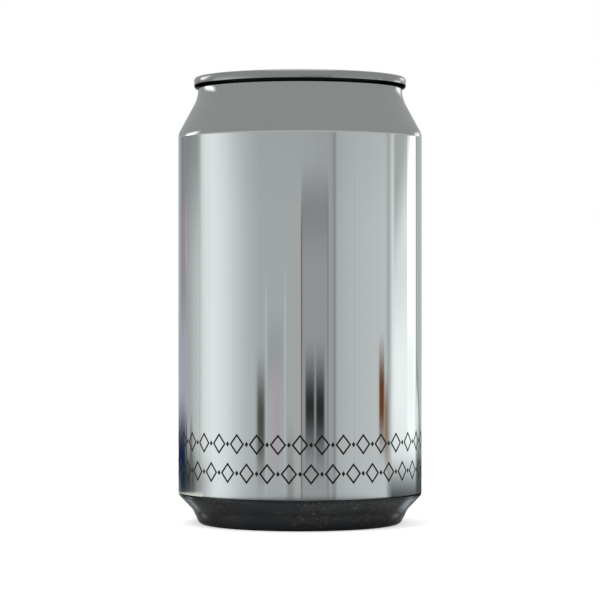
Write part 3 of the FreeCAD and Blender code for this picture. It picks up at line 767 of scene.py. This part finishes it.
def make_end_skin():
    """The end: seam, chuck wall, countersink, and the panel with its pressed forms and rivet."""
    seam_middle = SEAM_RADIUS - SEAM_THICKNESS / 2
    outside = rounded_path([
        (NECK_RADIUS + NECK_CLEARANCE, SEAM_FOOT + SEAM_HIDDEN),
        (NECK_RADIUS + NECK_CLEARANCE, SEAM_FOOT),
        (SEAM_RADIUS, SEAM_FOOT, SEAM_CURL_RADIUS),
        (SEAM_RADIUS, CAN_HEIGHT, SEAM_TOP_RADIUS),
        (seam_middle, CAN_HEIGHT),
    ])
    inside = rounded_path([
        (seam_middle, CAN_HEIGHT),
        (SEAM_MOUTH, CAN_HEIGHT, SEAM_LIP_RADIUS),
        (SINK_OUTER, SINK_FLOOR, COUNTERSINK_RADIUS),
        (PANEL_EDGE, SINK_FLOOR, COUNTERSINK_RADIUS),
        (PANEL_EDGE, PANEL, PANEL_EDGE_RADIUS),
        (PANEL_EDGE - PANEL_TURNED, PANEL),
    ])
    recess = (RECESS_FRONT_WIDTH / 2, RECESS_FRONT, RECESS_BACK_WIDTH / 2, RECESS_BACK,
              RECESS_ROUNDING, RECESS_ROUNDING)
    well_far = RECESS_BACK - WELL_MARGIN
    well = (WELL_WIDTH / 2, WELL_LENGTH - well_far, WELL_WIDTH / 2, well_far,
            WELL_ROUNDING, WELL_ROUNDING)
    pour = (POUR_WIDTH / 2, POUR_FAR, POUR_WIDTH / 2, -POUR_NEAR, POUR_ROUNDING, POUR_ROUNDING)
    bead_half = POUR_WIDTH / 2 - BEAD_INSET
    bead = (bead_half, POUR_FAR - BEAD_INSET, bead_half, -(TAB_NOSE + BEAD_GAP),
            BEAD_ROUNDING, BEAD_ROUNDING)
    recess_loops = pressed(recess, slope(PANEL, RECESS))
    well_loops = pressed(well, slope(RECESS, RECESS - WELL_DEPTH))
    bead_loops = pressed(bead, slope(RECESS, RECESS + BEAD_HEIGHT))
    score_loops = pressed(pour, [
        (0.0, RECESS),
        (-SCORE_SLANT, RECESS - SCORE_DEPTH),
        (SCORE_SLANT - SCORE_WIDTH, RECESS - SCORE_DEPTH),
        (-SCORE_WIDTH, RECESS),
    ])
    seam, curl, sheet = range(3)
    end = Sheet()
    # The lowest part of the seam's curl is near black: painted shade and painted reflection of a dark
    # gap.
    end.strip(turned(outside), lambda height: curl if height < CURL_SHADE_ZONE else seam)
    panel_rim = turned(inside)
    end.strip(panel_rim, sheet)
    for loops in (recess_loops, well_loops, bead_loops, score_loops):
        end.strip(loops, sheet)
    end.flat([panel_rim[-1], recess_loops[0]], PANEL, sheet)
    end.flat([recess_loops[-1], well_loops[0], score_loops[0]], RECESS, sheet)
    end.flat([score_loops[-1], bead_loops[0]], RECESS, sheet)
    end.flat([bead_loops[-1]], RECESS + BEAD_HEIGHT, sheet)
    end.flat([well_loops[-1]], RECESS - WELL_DEPTH, sheet)
    head = WEB_TOP + RIVET_HEAD
    rivet = rounded_path([
        (RIVET_RADIUS, WEB_TOP - RIVET_HIDDEN),
        (RIVET_RADIUS, head, RIVET_EDGE_RADIUS),
        (DIMPLE_RADIUS, head, 0.3),
        (DIMPLE_RADIUS - DIMPLE_SLANT, head - DIMPLE_DEPTH, 0.2),
        (AXIS_GAP, head - DIMPLE_DEPTH),
    ])
    end.strip(turned(rivet), sheet)
    made = end.piece("end_skin", [
        # A darker grey than the end's sheet: painted reflection of a grey ceiling.
        mirror_metal("seam_metal_painted_reflection", (0.52, 0.525, 0.52), 0.10, 0.0005),
        # Near black: painted shade under the seam.
        mirror_metal("seam_curl_painted_shade", (0.009, 0.0095, 0.011), 0.12, 0.0005, 0.15),
        sheet_metal("end_sheet", (0.84, 0.845, 0.84), 0.16),
    ])
    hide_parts("can_end")


SLOT_STEPS = 48


def make_tab_skin():
    """The stay-on tab: curled rim and bar, sunk web with a slot round its tongue, finger hole."""
    middle = (RECESS + TAB_TOP) / 2
    half = (TAB_TOP - RECESS) / 2 - HAIR
    nose_half = TAB_NOSE_WIDTH / 2
    heel_half = TAB_HEEL_WIDTH / 2
    inner_half = heel_half - TAB_RIM
    blank = (nose_half, TAB_NOSE, heel_half, TAB_HEEL, TAB_NOSE_ROUNDING, TAB_HEEL_ROUNDING)
    web = (nose_half - TAB_RIM, TAB_NOSE - TAB_RIM, inner_half, TAB_BAR,
           WEB_ROUNDING, WEB_ROUNDING)
    hole = (inner_half, -(TAB_BAR + TAB_BAR_WIDTH), inner_half, TAB_HEEL - TAB_RIM,
            HOLE_NEAR_ROUNDING, HOLE_FAR_ROUNDING)
    outer_curl = curve((-TAB_OUTER_CURL, middle), TAB_OUTER_CURL, half, -90, 90, 14)
    rim_loops = pressed(blank, outer_curl)
    inner_curl = curve((TAB_INNER_CURL, middle), -TAB_INNER_CURL, half, 90, -90, 14)
    hole_loops = pressed(hole, inner_curl)
    bend_top = WEB_TOP + WEB_BEND
    web_profile = curve((TAB_INNER_CURL, bend_top), -TAB_INNER_CURL, middle + half - bend_top, 90, 0)
    web_profile += curve((-WEB_BEND, bend_top), WEB_BEND, WEB_BEND, 0, -90, 4)[1:]
    web_loops = pressed(web, web_profile)
    start = ISLAND_HINGE - 90
    cut = 360 - 2 * ISLAND_HINGE
    arc = [math.radians(start + cut * step / SLOT_STEPS) for step in range(SLOT_STEPS + 1)]
    far = ISLAND_RADIUS + ISLAND_SLOT
    slot = [(far * math.cos(angle), far * math.sin(angle)) for angle in arc]
    slot += [(ISLAND_RADIUS * math.cos(angle), ISLAND_RADIUS * math.sin(angle))
             for angle in reversed(arc)]
    slot_loops = [[(x, y, height) for x, y in slot] for height in (WEB_TOP, RECESS + HAIR)]
    tab = Sheet()
    for loops in (rim_loops, hole_loops, web_loops, slot_loops):
        tab.strip(loops)
    tab.flat([rim_loops[-1], web_loops[0], hole_loops[0]], middle + half)
    tab.flat([web_loops[-1], slot_loops[0]], WEB_TOP)
    tab.flat([rim_loops[0], hole_loops[-1]], middle - half)
    made = tab.piece("tab_skin", [
        sheet_metal("tab_sheet", (0.86, 0.86, 0.85), 0.15, (1.0, 0.03, 1.0)),
    ])
    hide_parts("stay_tab")


# Two rows of small marks round the foot of the wall: (middle's height, shift in marks).
MARK_ROWS = [(23.0, 0.0), (15.4, 0.5)]
MARK_COUNT = 36
MARK_HALF_WIDTH = 2.2
MARK_HALF_HEIGHT = 2.75
MARK_LINE = 0.45
MARK_SIDE_STEPS = 5
SMALL_HALF_WIDTH = 0.5
SMALL_HALF_HEIGHT = 0.75


def make_wall_marks():
    """Plain printed ornament: rows of outlined lozenges with a small lozenge between each two."""
    marks = Sheet()

    def lozenge(around, height, half_width, half_height, share):
        """A lozenge's outline on the wall, scaled about its middle, each side in short steps."""
        corners = [(1, 0), (0, 1), (-1, 0), (0, -1)]
        loop = []
        for index, (x, z) in enumerate(corners):
            next_x, next_z = corners[(index + 1) % 4]
            for step in range(MARK_SIDE_STEPS):
                along = step / MARK_SIDE_STEPS
                arc = around + share * half_width * (x + (next_x - x) * along) / WALL_RADIUS
                rise = height + share * half_height * (z + (next_z - z) * along)
                loop.append((WALL_RADIUS * math.sin(arc), -WALL_RADIUS * math.cos(arc), rise))
        return loop

    area = MARK_HALF_WIDTH * MARK_HALF_HEIGHT
    middle_to_side = area / math.hypot(MARK_HALF_WIDTH, MARK_HALF_HEIGHT)
    inner = 1 - MARK_LINE / middle_to_side
    for height, shift in MARK_ROWS:
        for number in range(MARK_COUNT):
            around = 2 * math.pi * (number + shift) / MARK_COUNT
            marks.strip([lozenge(around, height, MARK_HALF_WIDTH, MARK_HALF_HEIGHT, share)
                         for share in (1, inner)])
            between = around + math.pi / MARK_COUNT
            marks.strip([lozenge(between, height, SMALL_HALF_WIDTH, SMALL_HALF_HEIGHT, share)
                         for share in (1, 0.02)])
    marks.piece("wall_marks", [black_ink("black_ink")])


bpy.context.scene.view_settings.view_transform = "Standard"
make_camera()
make_studio()
make_floor()
make_lamp("key_light", place=(-0.5, -0.6, 1.1), size=0.7, power=6.0)
make_lamp("fill_light", place=(0.7, -0.2, 0.9), size=0.7, power=3.0)
make_can_shell()
make_end_skin()
make_tab_skin()
make_wall_marks()
